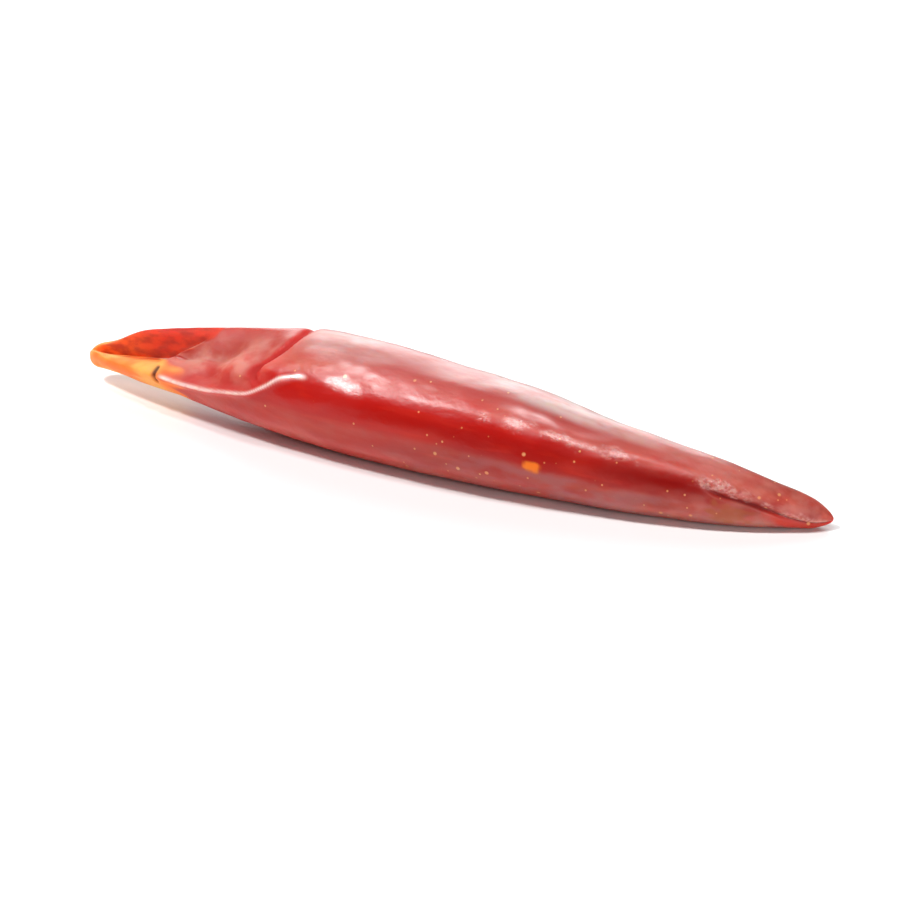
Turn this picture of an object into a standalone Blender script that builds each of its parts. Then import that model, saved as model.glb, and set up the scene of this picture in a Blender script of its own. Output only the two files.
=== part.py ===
"""A whole dried chilli pepper, its stalk and cap pulled off, lying on its side.

Metres, +Z up. The pod runs along X with its stem end at -X and its tip at +X, and rests on
z = 0. The origin is the centre of its bounding box, brought down onto that surface.
The pod grew as one piece, so it is one solid. It is lofted from rings that follow a bowed
spine. Towards the stem end its top front wall fell in as it dried, which leaves a dished,
pinched beak with a ridge on each side of the hollow.
"""

import math

import bmesh
import bpy

# Overall sizes of the pod.
POD_LENGTH = 0.0760  # beak to tip, along X
POD_WIDTH = 0.0110  # greatest width, across the middle
POD_HEIGHT = 0.0105  # greatest height: it dries a little flatter than it is wide
BOW = 0.0047  # how far the spine bends sideways, towards -Y
BEAK_ROUND = 0.0011  # length over which the stem end rounds off
TIP_ROUND = 0.0012  # length over which the tip rounds off
BEAK_LIFT = 0.0016  # how far the underside of the beak stands off the table
TIP_LIFT = 0.0004  # how far the tip turns up

# Shapes along the pod, each a list of (share of POD_LENGTH, value) joined by a smooth curve.
# Half the width, as a share of half of POD_WIDTH.
OUTLINE = (
    (0.00, 0.23),
    (0.08, 0.49),
    (0.18, 0.72),
    (0.30, 0.94),
    (0.45, 1.00),
    (0.60, 0.93),
    (0.75, 0.73),
    (0.88, 0.53),
    (0.96, 0.33),
    (1.00, 0.16),
)
# How far the spine stands sideways, as a share of BOW.
BEND = (
    (0.00, 0.00),
    (0.15, 0.40),
    (0.30, 0.70),
    (0.45, 0.91),
    (0.60, 1.00),
    (0.75, 0.93),
    (0.85, 0.75),
    (0.93, 0.45),
    (1.00, 0.00),
)
# How far the underside stands off the table, as a share of BEAK_LIFT, then of TIP_LIFT.
BEAK_RISE = ((0.00, 1.00), (0.15, 0.55), (0.35, 0.00), (1.00, 0.00))
TIP_RISE = ((0.00, 0.00), (0.90, 0.00), (1.00, 1.00))

# The pod sagged a little onto the table as it dried, which left a flat to rest on.
REST_DEPTH = 0.00016  # how much of the round belly that flat takes off

# The crease where the fallen-in wall of the stem end stops and the pod is full and round.
CREASE_AT = 0.0249  # from the beak, on top of the pod
CREASE_SLANT = 0.0022  # how much nearer the beak it lies low on the front
CREASE_TURN = math.radians(70)  # how far round from the top it takes to slant that much
CREASE_WIDTH = 0.0020  # length over which the wall rises there
FULL_AGAIN = 2.5  # a wall this far out doesn't touch the round section

# How far that wall lies from the spine, as a share of the radius, at shares of CREASE_AT.
FALLEN_WALL = ((0.00, 1.00), (0.05, 0.90), (0.15, 0.46), (0.30, 0.42), (0.60, 0.56), (1.00, 0.80))
FALLEN_FACES = math.radians(130)  # the way it faces, from +Y towards +Z
FALLEN_EDGE = 18  # how tightly its two edges turn: a higher power gives a sharper ridge
FALLEN_DISH = 0.08  # how much deeper its middle is than its edges, as a share of the radius
DISH_EDGE = 3  # a higher power keeps the dish further from those edges
DISH_START = 0.0044  # length over which the dish deepens from the beak

# The front wall dried a little flatter than the rest.
FRONT_FACES = math.radians(165)
FRONT_WALL = 0.95  # how far it lies from the spine, as a share of the radius
FRONT_EDGE = 7  # its edges turn softly

# Shallow wrinkles that run the length of the pod and wind slowly round it.
WRINKLES = 5
WRINKLE_DEPTH = 0.010  # to each side, as a share of the radius
WRINKLE_TWIST = math.radians(75)

# The mesh.
RINGS = 84
RING_POINTS = 48
END_CROWDING = 0.6  # how much closer the rings lie at the two ends
SHARP_ANGLE = math.radians(50)  # edges that turn more than this are shaded sharp

SKIN_COLOUR = (0.36, 0.012, 0.008, 1.0)
SKIN_ROUGHNESS = 0.22


def smooth_step(value):
    value = min(max(value, 0.0), 1.0)
    return value * value * (3 - 2 * value)


def read_curve(points, share):
    """The value of a smooth curve through the points, with no bumps between them."""
    last = len(points) - 1
    rises = [
        (after[1] - before[1]) / (after[0] - before[0]) for before, after in zip(points, points[1:])
    ]

    def slope(i):
        before, after = rises[max(i - 1, 0)], rises[min(i, last - 1)]
        return 2 * before * after / (before + after) if before * after > 0 else 0.0

    here = max(i for i in range(last) if points[i][0] <= share or i == 0)
    (start, low), (end, high) = points[here], points[here + 1]
    span = end - start
    t = min((share - start) / span, 1.0)
    ease = smooth_step(t)
    leave = t * (1 - t) * (1 - t) * slope(here) * span
    arrive = t * t * (1 - t) * slope(here + 1) * span
    return low + (high - low) * ease + leave - arrive


def end_rounding(x):
    """1 along the pod, falling to 0 at the beak and the tip as a quarter ellipse does."""
    nose = min(x / BEAK_ROUND, (POD_LENGTH - x) / TIP_ROUND, 1.0)
    return math.sqrt(max(0.0, 1 - (1 - nose) ** 2))


def wall_reach(faces, distance, angle, power):
    """A flat wall's part in the sum that joins several walls into one smooth section."""
    return (max(0.0, math.cos(angle - faces)) / distance) ** power


def past_crease(x, angle):
    """0 on the fallen wall, 1 beyond the slanting crease that ends it."""
    low_on_front = smooth_step((angle - math.pi / 2) / CREASE_TURN)
    crease = CREASE_AT - CREASE_SLANT * low_on_front
    return smooth_step((x - crease) / CREASE_WIDTH + 0.5)


def radius_share(x, angle):
    """The section's radius at this angle, as a share of the plain ellipse's."""
    share = x / POD_LENGTH
    front = wall_reach(FRONT_FACES, FRONT_WALL, angle, FRONT_EDGE)
    radius = (1 + front) ** (-1 / FRONT_EDGE)
    radius += WRINKLE_DEPTH * math.cos(WRINKLES * (angle - WRINKLE_TWIST * share))
    beyond = past_crease(x, angle)
    distance = read_curve(FALLEN_WALL, min(x / CREASE_AT, 1.0))
    distance += (FULL_AGAIN - distance) * beyond
    fallen = wall_reach(FALLEN_FACES, distance, angle, FALLEN_EDGE)
    radius = (radius**-FALLEN_EDGE + fallen) ** (-1 / FALLEN_EDGE)
    dish = max(0.0, math.cos(angle - FALLEN_FACES)) ** DISH_EDGE * smooth_step(x / DISH_START)
    return radius - FALLEN_DISH * dish * (1 - beyond)


def surface_point(x, angle):
    """A point of the skin, x metres from the beak. Angle 0 is +Y and a quarter turn is up."""
    share = x / POD_LENGTH
    half_wide = read_curve(OUTLINE, share) * POD_WIDTH / 2
    half_high = read_curve(OUTLINE, share) * POD_HEIGHT / 2
    radius = radius_share(x, angle) * end_rounding(x)
    lift = BEAK_LIFT * read_curve(BEAK_RISE, share) + TIP_LIFT * read_curve(TIP_RISE, share)
    return (
        x,
        -BOW * read_curve(BEND, share) + half_wide * radius * math.cos(angle),
        lift - REST_DEPTH + half_high * (1 + radius * math.sin(angle)),
    )


def ring_places():
    """Distances of the rings from the beak, closer together towards both ends."""
    for i in range(1, RINGS):
        even = i / RINGS
        yield POD_LENGTH * (even - END_CROWDING * math.sin(math.tau * even) / math.tau)


def add_ring(bm, x):
    turn = math.tau / RING_POINTS
    verts = [bm.verts.new(surface_point(x, i * turn)) for i in range(RING_POINTS)]
    return [bm.edges.new((verts[i - 1], verts[i])) for i in range(RING_POINTS)]


def close_end(bm, edges, x):
    """Covers an end ring with a fan that meets at the very end of the spine."""
    face = bmesh.ops.contextual_create(bm, geom=edges)["faces"][0]
    centre = bmesh.ops.poke(bm, faces=[face])["verts"][0]
    centre.co = surface_point(x, 0)


def cut_rest_flat(bm):
    """Slices the lowest of the belly off at z = 0 and closes the cut with one flat face."""
    everything = [*bm.verts, *bm.edges, *bm.faces]
    cut = bmesh.ops.bisect_plane(
        bm, geom=everything, dist=1e-6, plane_co=(0, 0, 0), plane_no=(0, 0, -1), clear_outer=True
    )
    rim = [item for item in cut["geom_cut"] if isinstance(item, bmesh.types.BMEdge)]
    bmesh.ops.contextual_create(bm, geom=rim)


def centre_on_origin(bm):
    """Puts the middle of the bounding box over the origin, without changing any height."""
    for axis in (0, 1):
        places = [v.co[axis] for v in bm.verts]
        middle = (min(places) + max(places)) / 2
        for v in bm.verts:
            v.co[axis] -= middle


def chilli_mesh():
    bm = bmesh.new()
    rings = [add_ring(bm, x) for x in ring_places()]
    for first, second in zip(rings, rings[1:]):
        bmesh.ops.bridge_loops(bm, edges=first + second)
    close_end(bm, rings[0], 0.0)
    close_end(bm, rings[-1], POD_LENGTH)
    cut_rest_flat(bm)
    centre_on_origin(bm)
    bmesh.ops.recalc_face_normals(bm, faces=bm.faces)
    mesh = bpy.data.meshes.new("chilli_pod")
    bm.to_mesh(mesh)
    bm.free()
    mesh.shade_smooth()
    mesh.set_sharp_from_angle(angle=SHARP_ANGLE)
    return mesh


def skin_material():
    material = bpy.data.materials.new("dried_skin")
    material.use_nodes = True
    shader = material.node_tree.nodes["Principled BSDF"]
    shader.inputs["Base Color"].default_value = SKIN_COLOUR
    shader.inputs["Roughness"].default_value = SKIN_ROUGHNESS
    shader.inputs["Metallic"].default_value = 0.0
    return material


def main():
    for obj in list(bpy.data.objects):
        bpy.data.objects.remove(obj)
    mesh = chilli_mesh()
    mesh.materials.append(skin_material())
    pod = bpy.data.objects.new("chilli_pod", mesh)
    bpy.context.scene.collection.objects.link(pod)


main()
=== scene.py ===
"""The looks of a dried chilli pepper that lies on its side on a white table.

Metres, +Z up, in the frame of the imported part: the pod runs along X with its stem end at -X.
"""

import math

import bpy
import numpy as np
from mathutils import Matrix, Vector, noise


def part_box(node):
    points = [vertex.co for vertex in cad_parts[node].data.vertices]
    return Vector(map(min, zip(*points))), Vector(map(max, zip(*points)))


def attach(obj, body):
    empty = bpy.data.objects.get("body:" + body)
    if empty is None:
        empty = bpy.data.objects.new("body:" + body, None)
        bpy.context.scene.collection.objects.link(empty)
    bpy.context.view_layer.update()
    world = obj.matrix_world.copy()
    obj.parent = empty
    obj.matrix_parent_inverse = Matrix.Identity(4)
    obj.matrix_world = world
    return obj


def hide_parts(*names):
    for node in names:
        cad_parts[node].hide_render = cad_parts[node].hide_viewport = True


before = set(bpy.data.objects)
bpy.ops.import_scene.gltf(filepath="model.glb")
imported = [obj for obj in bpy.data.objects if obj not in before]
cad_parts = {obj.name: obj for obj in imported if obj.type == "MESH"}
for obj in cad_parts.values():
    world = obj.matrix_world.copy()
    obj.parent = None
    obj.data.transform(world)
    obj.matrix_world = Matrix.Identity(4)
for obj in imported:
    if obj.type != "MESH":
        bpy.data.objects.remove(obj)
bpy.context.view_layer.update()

# ------------------------------------------------------------------------------------------
# The table. A smooth white board with a faint gloss, big enough to fill the view from any
# side. It only carries the pod and takes its shadow.
# ------------------------------------------------------------------------------------------
TABLE_RADIUS = 0.9
TABLE_GAP = 0.00002  # keeps the two touching surfaces from lying in exactly the same plane
TABLE_SIDES = 128
TABLE_WHITE = (0.93, 0.93, 0.93, 1.0)
TABLE_ROUGHNESS = 0.32


def white_board():
    bpy.ops.mesh.primitive_circle_add(
        vertices=TABLE_SIDES, radius=TABLE_RADIUS, fill_type="NGON", location=(0, 0, -TABLE_GAP)
    )
    board = bpy.context.object
    board.name = "table"
    finish = bpy.data.materials.new("white_board")
    finish.use_nodes = True
    shader = finish.node_tree.nodes["Principled BSDF"]
    shader.inputs["Base Color"].default_value = TABLE_WHITE
    shader.inputs["Roughness"].default_value = TABLE_ROUGHNESS
    board.data.materials.append(finish)


white_board()

# ------------------------------------------------------------------------------------------
# The pod as it grew: one long, hollow, tapering fruit. Each ring round it is close to an
# ellipse, and the rings follow a line that bows to the front. The ends round off, and the
# stem end stands a little off the table.
# ------------------------------------------------------------------------------------------
POD_LOW, POD_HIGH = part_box("chilli_pod")
LENGTH = (POD_HIGH.x - POD_LOW.x) * 1.006  # the skin's rounded ends reach a little further
WIDTH = 0.0110
HEIGHT = 0.0105
BOW = 0.0047  # how far the middle line bends sideways, towards -Y
BEAK_ROUND = 0.0014  # length over which the stem end rounds off
TIP_ROUND = 0.0020
BEAK_LIFT = 0.0014  # how far the underside of the stem end stands off the table
TIP_LIFT = 0.00015
REST_DEPTH = 0.00016  # how much the belly sagged flat against the table

# Shares of LENGTH from the stem end, each with a share of half of WIDTH.
OUTLINE = (
    (0.00, 0.21),
    (0.08, 0.49),
    (0.18, 0.72),
    (0.30, 0.94),
    (0.45, 1.00),
    (0.60, 0.93),
    (0.75, 0.73),
    (0.88, 0.53),
    (0.96, 0.315),
    (1.00, 0.16),
)
# Shares of LENGTH, each with a share of BOW.
BEND = (
    (0.00, 0.00),
    (0.15, 0.40),
    (0.30, 0.70),
    (0.45, 0.91),
    (0.60, 1.00),
    (0.75, 0.93),
    (0.85, 0.75),
    (0.93, 0.45),
    (1.00, 0.00),
)
# Shares of LENGTH, each with a share of BEAK_LIFT, then of TIP_LIFT.
BEAK_RISE = ((0.00, 1.00), (0.15, 0.55), (0.35, 0.00), (1.00, 0.00))
TIP_RISE = ((0.00, 0.00), (0.90, 0.00), (1.00, 1.00))

# The skin is laid out as rings along the pod, each with the same number of points. ALONG is
# each ring's share of LENGTH, and ROUND each point's angle: 0 is +Y, a quarter turn is up.
RINGS = 400
RING_POINTS = 240
END_CROWDING = 0.45  # how much closer the rings lie at the two ends

even = (np.arange(RINGS) + 0.5) / RINGS
ALONG = (even - END_CROWDING * np.sin(math.tau * even) / math.tau)[:, None]
ROUND = (np.arange(RING_POINTS) / RING_POINTS * math.tau)[None, :]


def smooth_step(value):
    value = np.clip(value, 0.0, 1.0)
    return value * value * (3 - 2 * value)


def read_curve(points, at):
    """A smooth curve through a few points, with no bumps between them, read at many places."""
    places, values = np.array(points, float).T
    rises = np.diff(values) / np.diff(places)
    before, after = rises[:-1], rises[1:]
    both = np.where(before * after > 0, before + after, 1.0)
    inner = np.where(before * after > 0, 2 * before * after / both, 0.0)
    slopes = np.concatenate([rises[:1], inner, rises[-1:]])
    here = np.clip(np.searchsorted(places, at, "right") - 1, 0, len(rises) - 1)
    span = places[here + 1] - places[here]
    t = np.clip((at - places[here]) / span, 0.0, 1.0)
    leave = t * (1 - t) ** 2 * slopes[here] * span
    arrive = t * t * (1 - t) * slopes[here + 1] * span
    return values[here] + (values[here + 1] - values[here]) * smooth_step(t) + leave - arrive


def end_rounding(along):
    """1 along the pod, falling to 0 at both ends as a quarter ellipse does."""
    nose = np.minimum(along * LENGTH / BEAK_ROUND, (1 - along) * LENGTH / TIP_ROUND)
    return np.sqrt(1 - (1 - np.clip(nose, 0, 1)) ** 2)


def facing(angle, power):
    """How much the skin at each angle faces this one: 1 straight at it, 0 from a quarter turn."""
    return np.maximum(0.0, np.cos(ROUND - angle)) ** power


half_wide = read_curve(OUTLINE, ALONG) * WIDTH / 2
half_high = read_curve(OUTLINE, ALONG) * HEIGHT / 2
middle_y = -BOW * read_curve(BEND, ALONG)
lift = BEAK_LIFT * read_curve(BEAK_RISE, ALONG) + TIP_LIFT * read_curve(TIP_RISE, ALONG)

# Two walls dried flatter than the rest, one facing the front and one facing up and forward,
# with a soft ridge between them. The skin shrank into a few shallow waves that wind slowly
# round the pod.
FRONT_FACES = math.radians(168)
FRONT_WALL = 0.95
UPPER_FACES = math.radians(119)
UPPER_WALL = 0.93
FLAT_EDGE = 9  # how tightly the skin turns from one of these to the next
WAVES = 5
WAVE_DEPTH = 0.008
WAVE_TWIST = math.radians(75)

flats = (facing(FRONT_FACES, 1) / FRONT_WALL) ** FLAT_EDGE
flats = flats + (facing(UPPER_FACES, 1) / UPPER_WALL) ** FLAT_EDGE
radius = (1 + flats) ** (-1 / FLAT_EDGE)
radius = radius + WAVE_DEPTH * np.cos(WAVES * (ROUND - WAVE_TWIST * ALONG))

# Under the stem end the skin drew up as it dried. Shares of LENGTH, each with a share of TUCK.
TUCKED = (
    (0.00, 0.00),
    (0.04, 0.35),
    (0.09, 0.56),
    (0.13, 0.64),
    (0.20, 0.58),
    (0.30, 0.42),
    (0.48, 0.00),
    (1.00, 0.00),
)
TUCK = 0.00090
TUCK_FACES = math.radians(252)

# push is how far each point of the skin stands out from those rings, in metres. Every section
# that shapes the skin adds to it.
push = -TUCK * read_curve(TUCKED, ALONG) * facing(TUCK_FACES, 1.5)

# ------------------------------------------------------------------------------------------
# The fallen-in stem end. As it dried, the top front wall of the shoulder sank until it hung
# between two ridges, a high one at the back and a low, thin-edged one in front. It stops at a
# slanting crease, where the pod is full and round again.
# ------------------------------------------------------------------------------------------
# Shares of LENGTH, each with an angle in degrees: the two ridges that the wall hangs between.
FRONT_RIDGE = (
    (0.000, 130),
    (0.020, 152),
    (0.040, 170),
    (0.070, 181),
    (0.120, 183),
    (0.170, 190),
    (0.205, 189),
    (0.245, 184),
    (0.277, 179),
    (0.307, 165),
    (0.330, 151),
    (0.360, 145),
    (1.000, 145),
)
BACK_RIDGE = ((0.000, 110), (0.020, 92), (0.060, 76), (0.120, 70), (1.000, 68))
RIDGE_SHARPNESS = 34
WALL_SAG = 0.00085  # how far the wall hangs in past a straight line
SAG_TAKEN_UP = 0.8  # how much of that sag is gone where the wall meets the crease
WALL_CLIMB = 0.60  # how much of the drop the wall has made up by the time it meets the crease
CLIMB_LENGTH = 0.14  # as a share of LENGTH
NO_WALL = 1.5  # a wall this many radii out doesn't touch the round pod
# Degrees round the pod, each with the crease's share of LENGTH there.
CREASE = (
    (60, 0.347),
    (80, 0.343),
    (94, 0.336),
    (115, 0.323),
    (130, 0.312),
    (141, 0.303),
    (152, 0.300),
    (165, 0.312),
    (180, 0.345),
)
CREASE_WIDTH = 0.0034
CREASE_FOOT = 0.0016  # how far its foot lies before its middle
PINCH_DEPTH = 0.00050  # the foot is pinched in, a little up the slope
PINCH_WIDTH = 0.0006
PINCH_AT = 0.0003
PINCH_FACES = math.radians(118)
LIP_HEIGHT = 0.00032  # the thin edge of the front ridge, rolled up as it dried
LIP_WIDTH = 0.00042
# Shares of LENGTH, each with an angle in degrees: the shallow valley behind that lip.
LIP_VALLEY = (
    (0.000, 172),
    (0.219, 177),
    (0.252, 172),
    (0.280, 162),
    (0.303, 150),
    (1.000, 140),
)
LIP_VALLEY_DEPTH = 0.00010
LIP_VALLEY_WIDTH = 0.00045
FOLD_DEPTH = 0.00026  # shallow folds across the wall, along the same slant as the crease
FOLD_SPACING = 0.066  # as a share of LENGTH
FOLD_AT = (0.26, 74)  # share of LENGTH and degrees round the pod of one fold's crest
FOLD_SLANT = 0.00022  # share of LENGTH for each degree round the pod


def beside(path):
    """Distance in metres round the pod from a line along it, which the path gives in degrees."""
    return (ROUND - np.radians(read_curve(path, ALONG))) * half_wide


def stretch(start, end, fade=0.02):
    """1 between two shares of LENGTH, with soft ends."""
    return smooth_step((ALONG - start) / fade + 0.5) * smooth_step((end - ALONG) / fade + 0.5)


def onwards(share, fade):
    """0 up to a share of LENGTH, then up to 1 over the next stretch."""
    return smooth_step((ALONG - share) / fade)


def bump(distance, width):
    """A smooth bump: 1 at no distance, gone past about twice its width."""
    return np.exp(-((distance / width) ** 2))


front_ridge = np.radians(read_curve(FRONT_RIDGE, ALONG))
back_ridge = np.radians(read_curve(BACK_RIDGE, ALONG))
wall_faces = (front_ridge + back_ridge) / 2
wall_distance = np.cos((front_ridge - back_ridge) / 2)
crease = read_curve(CREASE, np.degrees(ROUND))
beyond = smooth_step((ALONG - crease) * LENGTH / CREASE_WIDTH + 0.5)

wall = facing(wall_faces, 1) / (wall_distance + (NO_WALL - wall_distance) * beyond)
fallen = (radius**-RIDGE_SHARPNESS + wall**RIDGE_SHARPNESS) ** (-1 / RIDGE_SHARPNESS)
climb = WALL_CLIMB * smooth_step((ALONG - crease) / CLIMB_LENGTH + 1)
radius = fallen + (radius - fallen) * climb
across = (ROUND - back_ridge) / (front_ridge - back_ridge)  # 0 at the back ridge, 1 at the front
on_wall = (1 - beyond) * onwards(0, 0.02) * np.clip(4 * across * (1 - across), 0, 1)
push = push - WALL_SAG * on_wall * (1 - SAG_TAKEN_UP * climb / WALL_CLIMB)

past_fold = ALONG - FOLD_AT[0] + FOLD_SLANT * (np.degrees(ROUND) - FOLD_AT[1])
folds = np.cos(math.tau * past_fold / FOLD_SPACING)
push = push + FOLD_DEPTH * folds * on_wall * stretch(0.15, 0.30, 0.04)
crease_foot = (ALONG - crease) * LENGTH + CREASE_FOOT
pinch = bump(crease_foot - PINCH_AT, PINCH_WIDTH) * facing(PINCH_FACES, 1)
push = push - PINCH_DEPTH * pinch * smooth_step((0.97 - across) / 0.1)
push = push + LIP_HEIGHT * bump(beside(FRONT_RIDGE), LIP_WIDTH) * stretch(0.11, 0.345, 0.03)
lip_valley = bump(beside(LIP_VALLEY), LIP_VALLEY_WIDTH) * stretch(0.19, 0.31, 0.03)
push = push - LIP_VALLEY_DEPTH * lip_valley

# ------------------------------------------------------------------------------------------
# The torn stem end. The stalk and its cap came away and left a small hollow of bare orange
# flesh, with a thick rolled rim along its front that has cracked across.
# ------------------------------------------------------------------------------------------
# Degrees round the pod, each with the share of LENGTH where the hollow ends and skin begins.
HOLLOW_END = (
    (60, 0.200),
    (72, 0.190),
    (80, 0.178),
    (88, 0.158),
    (101, 0.143),
    (136, 0.130),
    (175, 0.120),
)
HOLLOW_DEPTH = 0.00045
HOLLOW_EDGE = 0.0007  # length over which the skin drops into it
RIM_ROLL = 0.00030  # how far the rolled rim stands up
RIM_WIDTH = 0.00075
# Shares of LENGTH, each with the angle in degrees where the rim runs.
RIM_LINE = (
    (0.00, 140),
    (0.02, 160),
    (0.04, 178),
    (0.07, 189),
    (0.12, 192),
    (0.17, 196),
    (1.00, 196),
)
CRACK_AT = (0.1285, 183)  # share of LENGTH and degrees round the pod, low on the rim
CRACK_LEAN = 0.00010  # share of LENGTH for each degree round the pod
CRACK_WIDTH = 0.00021
CRACK_DEPTH = 0.00050


def past(degrees, fade):
    """0 up to an angle round the pod, then up to 1 over the next few degrees."""
    return smooth_step((np.degrees(ROUND) - degrees) / fade)


def short_of(degrees, fade):
    """1 round the pod until a few degrees short of an angle, 0 from there on."""
    return smooth_step((degrees - np.degrees(ROUND)) / fade)


hollow_end = read_curve(HOLLOW_END, np.degrees(ROUND))
in_hollow = 1 - smooth_step((ALONG - hollow_end) * LENGTH / HOLLOW_EDGE + 0.5)
in_hollow = in_hollow * smooth_step((across - 0.03) / 0.10) * smooth_step((0.90 - across) / 0.10)
in_hollow = in_hollow * onwards(0.008, 0.02)
push = push - HOLLOW_DEPTH * in_hollow
push = push + RIM_ROLL * bump(beside(RIM_LINE), RIM_WIDTH) * stretch(0.0, 0.15, 0.05)

crack_lean = CRACK_LEAN * (np.degrees(ROUND) - CRACK_AT[1])
crack = bump((ALONG - CRACK_AT[0] - crack_lean) * LENGTH, CRACK_WIDTH)
crack = crack * past(168, 10) * short_of(206, 10)
push = push - CRACK_DEPTH * crack

# ------------------------------------------------------------------------------------------
# The tip. It dried flat, and the upper half folded down over the lower half along its front.
# A narrow groove is left where they meet, and the upper half's edge swells over it.
# ------------------------------------------------------------------------------------------
# Shares of LENGTH, each with the angle in degrees where the fold runs.
TIP_FOLD = (
    (0.000, 148),
    (0.865, 148),
    (0.885, 159),
    (0.920, 164),
    (0.940, 173),
    (0.955, 186),
    (0.980, 205),
    (1.000, 212),
)
GROOVE_DEPTH = 0.00030  # the narrow groove where the halves meet
GROOVE_WIDTH = 0.00026
OVERLAP_HEIGHT = 0.00012  # the swollen edge of the upper half, above the groove
OVERLAP_WIDTH = 0.0005
OVERLAP_AT = 0.00055

tip_fold = beside(TIP_FOLD)
in_tip = stretch(0.876, 1.02, 0.02)
push = push - GROOVE_DEPTH * bump(tip_fold, GROOVE_WIDTH) * in_tip
push = push + OVERLAP_HEIGHT * bump(tip_fold + OVERLAP_AT, OVERLAP_WIDTH) * in_tip

# ------------------------------------------------------------------------------------------
# Dents and wrinkles. The thin wall shrank unevenly round the seeds, so it is dented here and
# there, drawn into fine lengthwise wrinkles, and grained like leather close up.
# ------------------------------------------------------------------------------------------
# Share of LENGTH, degrees round the pod, length, breadth and depth of each dent in metres.
DENTS = (
    (0.425, 133, 0.0026, 0.0016, 0.00020),
    (0.650, 130, 0.0024, 0.0014, 0.00018),
    (0.735, 127, 0.0036, 0.0012, 0.00016),
    (0.810, 138, 0.0050, 0.0018, 0.00010),
    (0.520, 100, 0.0060, 0.0026, 0.00014),
    (0.700, 96, 0.0055, 0.0022, 0.00016),
    (0.590, 200, 0.0070, 0.0024, 0.00012),
    (0.420, 205, 0.0080, 0.0026, 0.00012),
    (0.250, 30, 0.0070, 0.0030, 0.00035),
    (0.430, 20, 0.0090, 0.0028, 0.00040),
    (0.640, 15, 0.0080, 0.0024, 0.00035),
    (0.820, 25, 0.0060, 0.0018, 0.00030),
    (0.330, 330, 0.0080, 0.0028, 0.00030),
    (0.720, 335, 0.0080, 0.0022, 0.00025),
    (0.345, 75, 0.0042, 0.0030, -0.00038),
    (0.405, 68, 0.0070, 0.0036, -0.00032),
    (0.035, 88, 0.0022, 0.0014, 0.00055),
)
# Each layer: its grain along the pod and round it, its height, all in metres, and its seed.
GRAIN = (
    (0.0110, 0.0040, 0.000130, 11.0),
    (0.0046, 0.0024, 0.000100, 23.0),
    (0.0016, 0.0010, 0.000030, 37.0),
)

for share, degrees, long_way, round_way, depth in DENTS:
    turn = (ROUND - math.radians(degrees) + math.pi) % math.tau - math.pi
    dent = bump((ALONG - share) * LENGTH, long_way) * bump(turn * half_wide, round_way)
    push = push - depth * dent


def grain(long_way, round_way, height, seed):
    """One layer of smooth, even grain over the whole skin."""
    x = np.broadcast_to(ALONG * LENGTH / long_way, push.shape)
    y = half_wide * np.cos(ROUND) / round_way
    z = half_wide * np.sin(ROUND) / round_way + seed
    places = np.stack([x, y, z], axis=-1).reshape(-1, 3)
    return height * np.array([noise.noise(Vector(at)) for at in places]).reshape(push.shape)


for layer in GRAIN:
    push = push + grain(*layer)

# ------------------------------------------------------------------------------------------
# The skin itself, one closed surface. Its rings are joined into quads and a fan closes each
# end. Where the belly reached the table it lies flat on it.
# ------------------------------------------------------------------------------------------


def skin_points():
    """Every point of the skin, ring by ring, and the two end points."""
    rounding = end_rounding(ALONG)
    reach_y = (half_wide * radius + push) * rounding
    reach_z = (half_high * radius + push) * rounding
    x = np.broadcast_to(ALONG * LENGTH, reach_y.shape)
    y = middle_y + reach_y * np.cos(ROUND)
    z = lift - REST_DEPTH + half_high + reach_z * np.sin(ROUND)
    points = np.stack([x, y, z], axis=-1).reshape(-1, 3)
    ends = np.array([[0, 0, BEAK_LIFT + half_high[0, 0]], [LENGTH, 0, TIP_LIFT + half_high[-1, 0]]])
    points = np.concatenate([points, ends])
    points[:, 2] = np.maximum(points[:, 2], 0.0)
    return points


def seated(points):
    """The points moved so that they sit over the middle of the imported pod."""
    centre = (points.min(0) + points.max(0)) / 2
    target = (POD_LOW + POD_HIGH) / 2
    return points + np.array([target.x - centre[0], target.y - centre[1], 0.0])


def skin_faces():
    at = np.arange(RINGS * RING_POINTS).reshape(RINGS, RING_POINTS)
    next_at = np.roll(at, -1, axis=1)
    quads = np.stack([at[:-1], next_at[:-1], next_at[1:], at[1:]], axis=-1).reshape(-1, 4)
    beak, tip = RINGS * RING_POINTS, RINGS * RING_POINTS + 1
    beak_fan = [(beak, int(b), int(a)) for a, b in zip(at[0], next_at[0])]
    tip_fan = [(tip, int(a), int(b)) for a, b in zip(at[-1], next_at[-1])]
    return quads.tolist() + beak_fan + tip_fan


def skin_mesh():
    mesh = bpy.data.meshes.new("chilli_skin")
    points = seated(skin_points())
    mesh.from_pydata(points.tolist(), [], skin_faces())
    mesh.shade_smooth()
    mesh.validate()
    return mesh


skin = bpy.data.objects.new("chilli_skin", skin_mesh())
bpy.context.scene.collection.objects.link(skin)

# ------------------------------------------------------------------------------------------
# Where the skin changes colour. The torn end is bare yellow to orange flesh and the hollow is
# redder inside. The skin is freckled low on the front and brown towards the tip. Painted light
# lies on it too: on top a darker red under a pale painted sheen, painted pink reflections on
# the dusty fallen wall and on the upper and low front, turning mauve towards the tip, pale
# painted highlights on the shiny high spots, and painted shade in the dark band, the crease,
# the folds, the crack and the tip's groove.
# ------------------------------------------------------------------------------------------
# Degrees round the pod, each with the share of LENGTH where the orange of the stem end stops.
ORANGE_END = (
    (0, 0.075),
    (60, 0.075),
    (90, 0.060),
    (130, 0.100),
    (150, 0.140),
    (168, 0.152),
    (185, 0.158),
    (205, 0.168),
    (250, 0.170),
    (300, 0.120),
    (360, 0.075),
)
ORANGE_FADE = 0.018
RAGGED = (0.0040, 0.0012, 0.030, 51.0)  # grain of the border: as a layer of GRAIN, in shares
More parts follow.
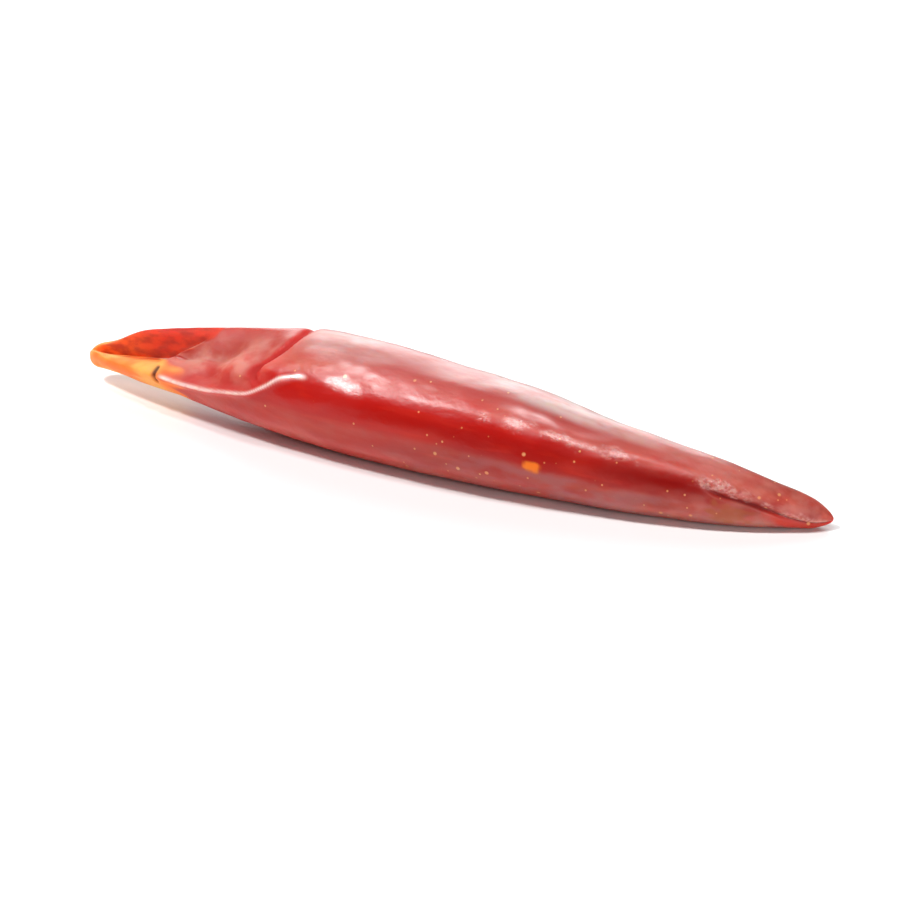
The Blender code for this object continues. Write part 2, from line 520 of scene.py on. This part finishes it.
# Spots are placed by share of LENGTH and degrees. Their sizes are half a length and a breadth.
SPOT_AT = (0.670, 184)  # one larger orange freckle
SPOT_SIZE = (0.00062, 0.00042)
PATCH_AT = (0.898, 196)  # a brown bruise close to the tip
PATCH_SIZE = (0.0013, 0.0009)
BLOTCH = (0.0008, 0.0006, 0.9, 71.0)  # grain of a spot's edge, in shares of its size
# The high spots where the waxy bloom has rubbed off, glossier and with a painted highlight:
# place, size and how shiny each one is.
WORN = (
    ((0.412, 142), (0.0013, 0.0007), 0.6),
    ((0.437, 150), (0.0006, 0.0004), 0.5),
    ((0.513, 139), (0.0010, 0.0004), 0.25),
    ((0.602, 140), (0.0006, 0.0005), 0.7),
    ((0.637, 137), (0.0009, 0.0007), 1.0),
    ((0.655, 132), (0.0006, 0.0005), 0.8),
    ((0.693, 135), (0.0012, 0.0005), 1.0),
    ((0.720, 138), (0.0010, 0.0005), 0.7),
    ((0.764, 135), (0.0013, 0.0006), 1.0),
    ((0.882, 141), (0.0013, 0.0006), 1.0),
    ((0.909, 146), (0.0010, 0.0005), 0.9),
)
WORN_HIGHLIGHT = 0.6  # how strong the painted highlight on a fully shiny one is
# Painted highlights on the tip: place, size and how pale.
TIP_HIGHLIGHTS = (
    ((0.880, 143), (0.0011, 0.0004), 0.9),
    ((0.897, 146), (0.0009, 0.0005), 1.0),
    ((0.915, 152), (0.0012, 0.0003), 0.8),
    ((0.937, 163), (0.0006, 0.0003), 0.6),
    ((0.965, 178), (0.0013, 0.0003), 0.8),
    ((0.982, 192), (0.0008, 0.0003), 0.7),
)
# Shares of LENGTH, each with the angle in degrees where the band of painted shade runs.
DARK_BAND = (
    (0.00, 172),
    (0.40, 170),
    (0.64, 164),
    (0.80, 160),
    (0.87, 156),
    (1.00, 156),
)
DARK_BAND_WIDTH = 0.0011
CREASE_SHADE_AT = 0.0001  # the painted shade in the crease, past its foot
CREASE_SHADE_WIDTH = 0.0008


def spot(at, size):
    """1 in the middle of a spot, with an uneven edge."""
    share, degrees = at
    along = (ALONG - share) * LENGTH / size[0]
    around = (ROUND - math.radians(degrees)) * half_wide / size[1]
    return smooth_step(1.6 - np.hypot(along, around) + grain(*BLOTCH))


def mark(name, values):
    """Keeps one value for each point of the skin under a name that the material can read."""
    layer = skin.data.attributes.new(name, "FLOAT", "POINT")
    values = np.broadcast_to(values, push.shape)
    ends = [values[0].mean(), values[-1].mean()]
    layer.data.foreach_set("value", np.concatenate([values.ravel(), ends]).astype(np.float32))


# The bare flesh of the stem end, with the hollow and the inner side of its back wall.
orange_end = read_curve(ORANGE_END, np.degrees(ROUND)) + grain(*RAGGED)
mark("orange", smooth_step((orange_end - ALONG) / ORANGE_FADE + 0.5))
back_wall = smooth_step((0.25 - across) / 0.1) * smooth_step((across + 0.16) / 0.07)
bare_inside = smooth_step((hollow_end + 1.5 * grain(*RAGGED) - ALONG) / 0.010 + 0.5)
inner_side = smooth_step((in_hollow + back_wall) * 1.2) * bare_inside
mark("hollow", inner_side * onwards(0.006, 0.015))
mark("deep", smooth_step(ALONG / 0.15 + 0.45 * (0.5 - across)))
mark("crack", np.clip(1.6 * crack, 0, 1))

# The fallen wall is dusty, with a painted pink reflection over it, and painted shade in its
# folds and its crease in place of that. Its lip has a thin painted highlight.
in_crease_shade = np.clip(1.8 * bump(crease_foot - CREASE_SHADE_AT, CREASE_SHADE_WIDTH), 0, 1)
in_crease_shade = in_crease_shade * past(57.3, 17.2) * smooth_step((1.02 - across) / 0.1)
mark("crease_shade", in_crease_shade)
mark("dust_and_reflection", on_wall * (1 - bare_inside) * (1 - in_crease_shade))
mark("fold_shade", smooth_step(-folds - 0.15) * on_wall * stretch(0.16, 0.30, 0.05))
lip_highlight_breadth = 0.00013 + 0.00012 * onwards(0.29, 0.04)
lip_highlight = bump(beside(FRONT_RIDGE) + 0.00010, lip_highlight_breadth) * stretch(0.139, 0.36, 0.012)
mark("lip_highlight", lip_highlight * (0.80 + 0.20 * onwards(0.24, 0.08)))

# Wax lies on the top side, and there the red is painted darker, as shade. A pale sheen is
# painted thickest on the shoulder and down the back.
top_side = past(28.65, 34.4)
painted_sheen = 0.85 * bump(ALONG - 0.392, 0.052) * short_of(124, 24)
painted_sheen = painted_sheen + bump(ALONG - 0.68, 0.15) * short_of(110, 18)
mark("painted_sheen", np.clip(painted_sheen * top_side, 0, 1))
mark("wax_and_top_shade", short_of(132, 28) * top_side)

# A pink reflection is painted on the upper front, strongest on the shoulder, and on the low
# front, where it turns mauve towards the tip. Painted shade darkens a band between the two, and
# the underside is a brighter red.
high = short_of(148, 16) * past(22.9, 34.4)
low = past(180, 12) * short_of(262, 22.9)
shoulder = bump((ALONG - 0.365) * LENGTH, 0.0035) * high
mark("painted_reflection", high * 0.50 + low * (0.45 + 0.35 * onwards(0.6, 0.3)) + 0.5 * shoulder)
mark("mauve_reflection", low * onwards(0.40, 0.35))
mark("underside", past(225, 22.9) * short_of(345, 22.9))
mark("shade_band", bump(beside(DARK_BAND), DARK_BAND_WIDTH) * stretch(0.42, 0.885, 0.10))

# The tip: browner skin, painted shade in the groove of its fold, and the red edge under it.
mark("tip", onwards(0.70, 0.30))
mark("groove_shade", bump(tip_fold, 0.00032) * in_tip)
under_fold = smooth_step(tip_fold / 0.0002) * smooth_step(1.6 - tip_fold / 0.0011)
mark("tip_lip", onwards(0.925, 0.03) * under_fold)

# Spots of every kind, the painted highlights among them, and where the freckles are thick.
glossy = sum(share * spot(at, size) for at, size, share in WORN)
tip_highlight_spots = sum(share * spot(at, size) for at, size, share in TIP_HIGHLIGHTS)
mark("glossy", np.clip(glossy, 0, 1))
mark("painted_highlight", np.clip(np.maximum(tip_highlight_spots, WORN_HIGHLIGHT * glossy), 0, 1))
mark("spot", spot(SPOT_AT, SPOT_SIZE))
mark("patch", spot(PATCH_AT, PATCH_SIZE))
freckled = (0.15 + 0.85 * facing(math.radians(205), 1)) * onwards(0.25, 0.40)
mark("freckled", np.clip(freckled + 0.5 * onwards(0.80, 0.15), 0, 1))

# ------------------------------------------------------------------------------------------
# The skin's material. A thin, waxy, translucent deep red skin, mottled and faintly streaked
# lengthwise, which dried on the pod. It is glossy where the wax is thick or worn smooth, and
# dull where it is dusty or the flesh is bare.
# ------------------------------------------------------------------------------------------
DEEP_RED = (0.48, 0.006, 0.003, 1.0)
DARK_RED = (0.27, 0.008, 0.006, 1.0)
BRIGHT_RED = (0.66, 0.030, 0.010, 1.0)
SHADE_RED = (0.27, 0.003, 0.002, 1.0)
CREASE_SHADE_RED = (0.48, 0.008, 0.004, 1.0)
REFLECTION_PINK = (0.62, 0.175, 0.115, 1.0)
DUST_AND_REFLECTION_PINK = (0.62, 0.22, 0.17, 1.0)
MAUVE_REFLECTION = (0.38, 0.12, 0.12, 1.0)
PAINTED_SHEEN_PALE = (0.72, 0.63, 0.60, 1.0)
HIGHLIGHT_PALE = (0.80, 0.50, 0.44, 1.0)
LIP_HIGHLIGHT_PALE = (1.0, 0.78, 0.73, 1.0)
TIP_BROWN = (0.21, 0.020, 0.012, 1.0)
PATCH_BROWN = (0.42, 0.10, 0.025, 1.0)
CRACK_SHADE = (0.10, 0.028, 0.010, 1.0)
RIM_YELLOW = (0.93, 0.40, 0.08, 1.0)
FLESH_ORANGE = (0.92, 0.20, 0.022, 1.0)
HOLLOW_RED = (0.60, 0.028, 0.003, 1.0)
HOLLOW_DARK = (0.30, 0.015, 0.005, 1.0)
SPECK_YELLOW = (0.80, 0.40, 0.16, 1.0)
SPOT_ORANGE = (0.85, 0.22, 0.015, 1.0)
PORE_DEPTH = 0.00014
WAX_DEPTH = 0.00020  # the waxy skin's faint unevenness
# Two sizes of freckle: how wide, how much room each has, how many of these places hold one
# where they are thick, a seed, and how strong the colour is.
FRECKLES = (
    (0.00025, 0.0017, 0.80, 0.0, 0.85),
    (0.00014, 0.0009, 0.70, 3.0, 0.75),
)
# What is the same all over the skin.
SKIN_FINISH = {
    "IOR": 1.42,
    "Subsurface Weight": 0.8,
    "Subsurface Radius": (1.0, 0.10, 0.05),
    "Subsurface Scale": 0.005,
    "Coat Roughness": 0.27,
    "Coat IOR": 1.75,
}

dried_skin = bpy.data.materials.new("dried_skin")
dried_skin.use_nodes = True
tree = dried_skin.node_tree
skin.data.materials.append(dried_skin)


def feed(socket, value):
    """Gives an input a value or another node's output."""
    if isinstance(value, bpy.types.NodeSocket):
        tree.links.new(value, socket)
    else:
        socket.default_value = value


def add(kind, **inputs):
    """Adds a node to the skin's material and feeds the inputs named."""
    made = tree.nodes.new(kind)
    for name, value in inputs.items():
        feed(made.inputs[name.replace("_", " ")], value)
    return made


def marked(name):
    reader = tree.nodes.new("ShaderNodeAttribute")
    reader.attribute_name = name
    return reader.outputs["Fac"]


def over(below, above, amount):
    """One colour laid over another by an amount from 0 to 1."""
    made = tree.nodes.new("ShaderNodeMix")
    made.data_type = "RGBA"
    feed(made.inputs[0], amount)  # this node's colours are its inputs 6 and 7
    feed(made.inputs[6], below)
    feed(made.inputs[7], above)
    return made.outputs[2]


def between(value, low, high, to_low=0.0, to_high=1.0):
    """A value's place between two limits, as a smooth share or in another range."""
    made = add("ShaderNodeMapRange", Value=value, From_Min=low, From_Max=high)
    feed(made.inputs["To Min"], to_low)
    feed(made.inputs["To Max"], to_high)
    made.interpolation_type = "SMOOTHSTEP"
    return made.outputs["Result"]


def worked(operation, first, second):
    """Two values put through a maths node."""
    made = tree.nodes.new("ShaderNodeMath")
    made.operation = operation
    feed(made.inputs[0], first)
    feed(made.inputs[1], second)
    return made.outputs[0]


def times(first, second):
    return worked("MULTIPLY", first, second)


body = tree.nodes.new("ShaderNodeTexCoord").outputs["Object"]


def grown(size, long_way=1.0, detail=2.0):
    """Cloudy pattern with patches of this size in metres, drawn out along the pod."""
    place = add("ShaderNodeMapping", Vector=body, Scale=(1 / long_way, 1, 1)).outputs[0]
    return add("ShaderNodeTexNoise", Vector=place, Scale=1 / size, Detail=detail).outputs["Fac"]


def cloudy(pattern, limits, least=0.0, most=1.0):
    """An amount that goes from least to most as a grown pattern goes from limit to limit."""
    return between(grown(*pattern), *limits, least, most)


def specks(size, cell, share, seed):
    """Small round specks: one in some of the cells of a loose grid, with a soft edge."""
    place = add("ShaderNodeMapping", Vector=body, Location=(seed, 0, 0)).outputs[0]
    cells = add("ShaderNodeTexVoronoi", Vector=place, Scale=1 / cell)
    red = add("ShaderNodeSeparateColor", Color=cells.outputs["Color"]).outputs["Red"]
    dot = between(cells.outputs["Distance"], size / cell, 0.4 * size / cell)
    return times(dot, worked("LESS_THAN", red, share))


def grey(value):
    """An even amount, for an input that is laid over as a colour is."""
    return (value, value, value, 1.0)


colour = over(DEEP_RED, DARK_RED, cloudy((0.009, 2.5), (0.42, 0.72), 0.0, 0.55))
colour = over(colour, BRIGHT_RED, cloudy((0.0032, 3.0, 3.0), (0.50, 0.80), 0.0, 0.45))
colour = over(colour, BRIGHT_RED, cloudy((0.0006, 14.0, 1.0), (0.56, 0.70), 0.0, 0.22))

# Each tint with the mark that it follows and how thick it lies, one over another in this order.
TINTS = (
    (BRIGHT_RED, "underside", 0.8),
    # pink reflections painted on the upper and the low front
    (REFLECTION_PINK, "painted_reflection", cloudy((0.0012, 4.0, 3.0), (0.30, 0.70), 0.20, 0.65)),
    # the low front's painted reflection, mauve towards the tip
    (MAUVE_REFLECTION, "mauve_reflection", cloudy((0.0015, 2.2, 3.0), (0.36, 0.62), 0.05, 0.75)),
    # the top side painted darker, as shade under its sheen
    (DARK_RED, "wax_and_top_shade", 0.25),
    # a pale sheen painted on the shoulder and down the back
    (PAINTED_SHEEN_PALE, "painted_sheen", cloudy((0.0020, 3.0, 3.0), (0.34, 0.60), 0.22, 0.66)),
    # a pink reflection painted over the dull, dusty fallen wall
    (DUST_AND_REFLECTION_PINK, "dust_and_reflection", cloudy((0.0021, 1.4, 3.0), (0.34, 0.60), 0.28, 1.0)),
    # a pink reflection painted over the tip
    (DUST_AND_REFLECTION_PINK, "tip", cloudy((0.0014, 1.8, 3.0), (0.35, 0.65), 0.20, 0.70)),
    (TIP_BROWN, "tip", cloudy((0.0021, 2.4, 2.0), (0.45, 0.70), 0.0, 0.5)),
    # painted shade in the troughs of the wall's folds
    (CREASE_SHADE_RED, "fold_shade", 0.40),
    # painted shade in the crease
    (CREASE_SHADE_RED, "crease_shade", 0.9),
    # painted shade along the dark band, darkest near the tip
    (SHADE_RED, "shade_band", between(marked("tip"), 0.0, 0.35, 0.25, 1.0)),
    # painted shade in the tip's groove
    (SHADE_RED, "groove_shade", 0.9),
    (BRIGHT_RED, "tip_lip", 0.85),
    (PATCH_BROWN, "patch", 0.7),
)
for tint, name, thickness in TINTS:
    colour = over(colour, tint, times(marked(name), thickness))

for size, cell, share, seed, strength in FRECKLES:
    dots = specks(size, cell, times(marked("freckled"), share), seed)
    colour = over(colour, SPECK_YELLOW, times(dots, strength))
colour = over(colour, SPOT_ORANGE, marked("spot"))
# pale highlights painted on the shiny spots and on the tip, broken into grains
highlight_grain = cloudy((0.00034, 1.5, 3.0), (0.38, 0.66), 0.10, 0.55)
colour = over(colour, HIGHLIGHT_PALE, times(marked("painted_highlight"), highlight_grain))

flesh = over(RIM_YELLOW, FLESH_ORANGE, cloudy((0.0022, 2.0), (0.38, 0.66)))
colour = over(colour, flesh, marked("orange"))
fibres = cloudy((0.0007, 3.5, 3.0), (0.35, 0.70))
inside = over(FLESH_ORANGE, HOLLOW_RED, marked("deep"))
inside = over(inside, HOLLOW_DARK, times(fibres, 0.7))
colour = over(colour, inside, marked("hollow"))
# the crack's inside painted dark, as shade
colour = over(colour, CRACK_SHADE, times(marked("crack"), 0.95))
lip_highlight_strength = cloudy((0.0007,), (0.30, 0.50), 0.75, 1.0)
# a thin pale highlight painted along the rolled lip
colour = over(colour, LIP_HIGHLIGHT_PALE, times(marked("lip_highlight"), lip_highlight_strength))

bare = worked("ADD", marked("orange"), marked("hollow"))
roughness = cloudy((0.0024, 2.0, 3.0), (0.3, 0.7), 0.33, 0.46)
roughness = over(roughness, grey(0.58), times(bare, 0.9))
roughness = over(roughness, grey(0.55), marked("dust_and_reflection"))
roughness = over(roughness, grey(0.75), marked("crease_shade"))
roughness = over(roughness, grey(0.28), times(marked("shade_band"), 0.6))
roughness = over(roughness, grey(0.26), marked("glossy"))

coat = over(marked("wax_and_top_shade"), grey(0.42), marked("glossy"))
coat = over(coat, grey(0.0), worked("ADD", bare, marked("dust_and_reflection")))
coat = over(coat, grey(0.0), marked("crease_shade"))
coat = over(coat, grey(1.0), marked("lip_highlight"))

pored = between(marked("glossy"), 0.0, 1.0, 0.16, 0.75)
pores = add("ShaderNodeBump", Height=grown(0.00034, 1.3, 3.0), Strength=pored, Distance=PORE_DEPTH)
wax = add("ShaderNodeBump", Height=grown(0.0016, 1.8, 2.0), Strength=0.45, Distance=WAX_DEPTH)
feed(wax.inputs["Normal"], pores.outputs[0])

shader = tree.nodes["Principled BSDF"]
feed(shader.inputs["Base Color"], colour)
feed(shader.inputs["Roughness"], roughness)
feed(shader.inputs["Coat Weight"], coat)
feed(shader.inputs["Normal"], wax.outputs[0])
for name, value in SKIN_FINISH.items():
    feed(shader.inputs[name], value)

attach(skin, "root")
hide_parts("chilli_pod")

# ------------------------------------------------------------------------------------------
# The light. Four cloth boxes hang round the table in a white tent: a small strong one high on
# the left, which throws the pod's shadow, one overhead, and wide soft ones behind and at the
# right. The tent itself is bright above and behind, and dim low down in front.
# ------------------------------------------------------------------------------------------
BOX_DISTANCE = 1.2
# Each box: its name, degrees round the pod and degrees up, size in metres, and watts.
BOXES = (
    ("key_box", (-60, 57), (0.17, 0.17), 11.6),
    ("top_box", (-10, 83), (0.18, 0.18), 4.2),
    ("back_box", (-146, 32), (0.8, 1.0), 6.6),
    ("right_box", (52, 22), (1.0, 0.6), 5.5),
)
BRIGHT_ABOVE = (0.28, 0.62)  # the tent brightens as a direction's rise goes from one to the other
BRIGHT_BEHIND = (-0.10, 0.40)  # and as its reach to the back does
TENT_DIM = 0.03
TENT_BRIGHT = 0.66
TENT_WALL = 0.9  # the strength of the white cloth that shows past the table's edge
WHITE = (1.0, 1.0, 1.0, 1.0)


def direction(azimuth, elevation):
    """The direction of a place this many degrees round from the front, and up."""
    azimuth, elevation = math.radians(azimuth), math.radians(elevation)
    return Vector(
        (
            math.sin(azimuth) * math.cos(elevation),
            -math.cos(azimuth) * math.cos(elevation),
            math.sin(elevation),
        )
    )


def soft_box(name, way, size, power):
    """A rectangular light that faces the pod."""
    lamp = bpy.data.lights.new(name, "AREA")
    lamp.shape = "RECTANGLE"
    lamp.size, lamp.size_y = size
    lamp.energy = power
    box = bpy.data.objects.new(name, lamp)
    towards = direction(*way)
    box.location = towards * BOX_DISTANCE
    box.rotation_euler = towards.to_track_quat("Z", "Y").to_euler()
    bpy.context.scene.collection.objects.link(box)


def tent():
    """The light of the room, and the plain white that shows past the table's edge."""
    world = bpy.data.worlds.new("tent")
    bpy.context.scene.world = world
    world.use_nodes = True
    nodes, links = world.node_tree.nodes, world.node_tree.links
    way = nodes.new("ShaderNodeTexCoord")
    split = nodes.new("ShaderNodeSeparateXYZ")
    links.new(way.outputs["Generated"], split.inputs[0])

    def rise(axis, low, high):
        made = nodes.new("ShaderNodeMapRange")
        made.interpolation_type = "SMOOTHSTEP"
        made.inputs["From Min"].default_value = low
        made.inputs["From Max"].default_value = high
        links.new(split.outputs[axis], made.inputs["Value"])
        return made.outputs[0]

    brighter = nodes.new("ShaderNodeMath")
    brighter.operation = "MAXIMUM"
    links.new(rise("Z", *BRIGHT_ABOVE), brighter.inputs[0])
    links.new(rise("Y", *BRIGHT_BEHIND), brighter.inputs[1])
    strength = nodes.new("ShaderNodeMapRange")
    strength.inputs["To Min"].default_value = TENT_DIM
    strength.inputs["To Max"].default_value = TENT_BRIGHT
    links.new(brighter.outputs[0], strength.inputs["Value"])
    links.new(strength.outputs[0], nodes["Background"].inputs["Strength"])

    cloth = nodes.new("ShaderNodeBackground")
    cloth.inputs["Color"].default_value = WHITE
    cloth.inputs["Strength"].default_value = TENT_WALL
    shown = nodes.new("ShaderNodeMixShader")
    links.new(nodes.new("ShaderNodeLightPath").outputs["Is Camera Ray"], shown.inputs["Fac"])
    links.new(nodes["Background"].outputs[0], shown.inputs[1])
    links.new(cloth.outputs[0], shown.inputs[2])
    links.new(shown.outputs[0], nodes["World Output"].inputs["Surface"])


for box in BOXES:
    soft_box(*box)
tent()

# ------------------------------------------------------------------------------------------
# The camera: half a metre away, 22 degrees above the table and round to the right, with a
# long lens.
# ------------------------------------------------------------------------------------------
CAMERA_AZIMUTH = 28.6
CAMERA_ELEVATION = 22
CAMERA_DISTANCE = 0.5
CAMERA_LENS = 220.6


def look_at_pod():
    camera = bpy.data.objects.new("camera", bpy.data.cameras.new("camera"))
    camera.data.lens = CAMERA_LENS
    camera.data.clip_start = 0.01
    back = direction(CAMERA_AZIMUTH, CAMERA_ELEVATION)
    stem_end = skin.data.vertices[RINGS * RING_POINTS].co
    camera.location = Vector((0, stem_end.y, 0)) + back * CAMERA_DISTANCE
    camera.rotation_euler = back.to_track_quat("Z", "Y").to_euler()
    bpy.context.scene.collection.objects.link(camera)
    bpy.context.scene.camera = camera


look_at_pod()
bpy.context.scene.view_settings.view_transform = "Standard"
